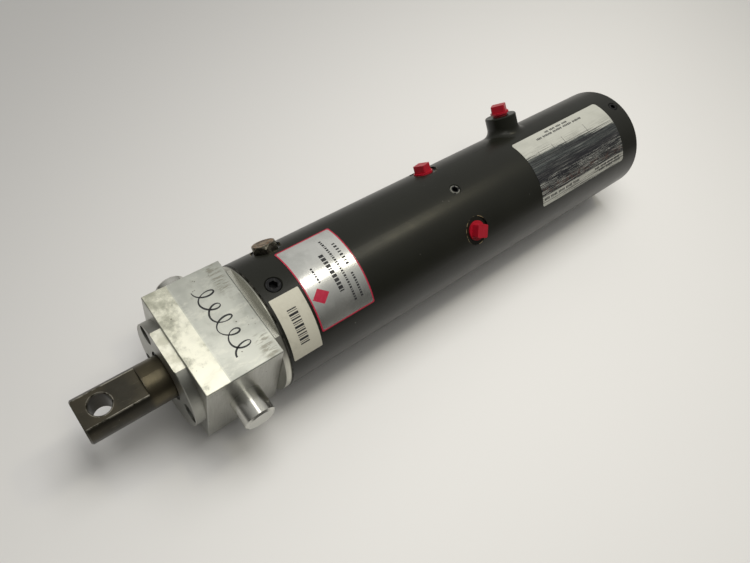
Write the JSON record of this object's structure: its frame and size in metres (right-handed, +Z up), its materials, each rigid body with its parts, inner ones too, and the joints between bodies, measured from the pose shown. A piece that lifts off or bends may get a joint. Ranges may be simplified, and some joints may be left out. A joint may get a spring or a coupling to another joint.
{
  "type": "trunnion-mounted hydraulic cylinder",
  "caption": "Two-stroke power cylinder with a trunnion block at the rod end, plugged ports and a short flatted rod with a cross hole.",
  "frame": {"origin": "under the middle of the whole length, on the surface that the barrel rests on, with the cylinder axis 53.6 mm above it", "axes": "+X along the cylinder axis towards the rod eye, +Y along the trunnion pins towards the side with the nameplate, +Z up, square to the block's top face and along the rod eye's hole"},
  "size_m": [0.5832, 0.1334, 0.1166],
  "materials": {
    "barrel_paint": "satin dark olive coating",
    "block_metal": "milled, lightly scuffed",
    "flange_metal": "turned, dull",
    "pin_metal": "turned bright",
    "rod_metal": "dark ground steel",
    "black_screw": "black oxide",
    "inner_metal": "turned",
    "inner_steel": "turned",
    "bearing_bronze": "bearing bronze",
    "seal_rubber": "matte",
    "wear_plastic": "filled plastic",
    "plug_red": "moulded, slightly glossy",
    "plug_metal": "aged brass",
    "nameplate_metal": "printed foil plate",
    "label_paper": "uncoated",
    "label_film": "printed film, scuffed"
  },
  "bodies": {
    "housing": {"cylinder_tube": "barrel_paint", "front_head": "block_metal", "trunnion_pin_near": "pin_metal", "trunnion_pin_far": "pin_metal", "gland_flange": "flange_metal", "gland_screws": "black_screw", "head_lock_screw": "black_screw", "divider_lock_screw": "black_screw", "cap_lock_screw": "black_screw", "port_boss": "barrel_paint", "front_port_plug": "plug_metal", "divider_port_plug_far": "plug_red", "divider_port_plug_near": "plug_red", "boss_port_plug": "plug_red", "nameplate": "nameplate_metal", "stock_label": "label_paper", "porting_label": "label_film", "rear_cap": "inner_metal", "rod_bushing": "bearing_bronze", "rod_seal": "seal_rubber", "rod_wiper": "seal_rubber", "gland_o_ring": "seal_rubber", "head_o_ring": "seal_rubber", "cap_o_ring": "seal_rubber", "divider_o_ring_rear": "seal_rubber", "divider_o_ring_front": "seal_rubber", "centre_divider": "inner_metal", "divider_bushing": "bearing_bronze", "push_rod_seal": "seal_rubber", "stop_tube": "inner_metal", "head_bumper": "seal_rubber", "divider_bumper": "seal_rubber", "stop_bumper": "seal_rubber"},
    "retract_unit": {"retract_piston": "inner_metal", "push_rod": "inner_steel", "push_rod_nut": "inner_steel", "retract_seal_rear": "seal_rubber", "retract_seal_front": "seal_rubber", "retract_wear_ring": "wear_plastic"},
    "weld_rings": {"weld_wear_ring": "wear_plastic", "weld_seal_rear": "seal_rubber", "weld_seal_front": "seal_rubber"},
    "rod": {"piston_rod": "rod_metal", "weld_piston": "inner_metal", "rod_nut": "inner_steel"}
  },
  "joints": [
    {"name": "retract_stroke", "type": "slide", "parent": "housing", "child": "retract_unit", "axis": [1, 0, 0], "range_m": [0, 0.0508]},
    {"name": "weld_stroke", "type": "slide", "parent": "retract_unit", "child": "weld_rings", "axis": [1, 0, 0], "range_m": [0, 0.0508]},
    {"name": "rod_turn", "type": "hinge", "parent": "weld_rings", "child": "rod", "pos_m": [0.1888, 0, 0.0536], "axis": [1, 0, 0], "continuous": true}
  ]
}
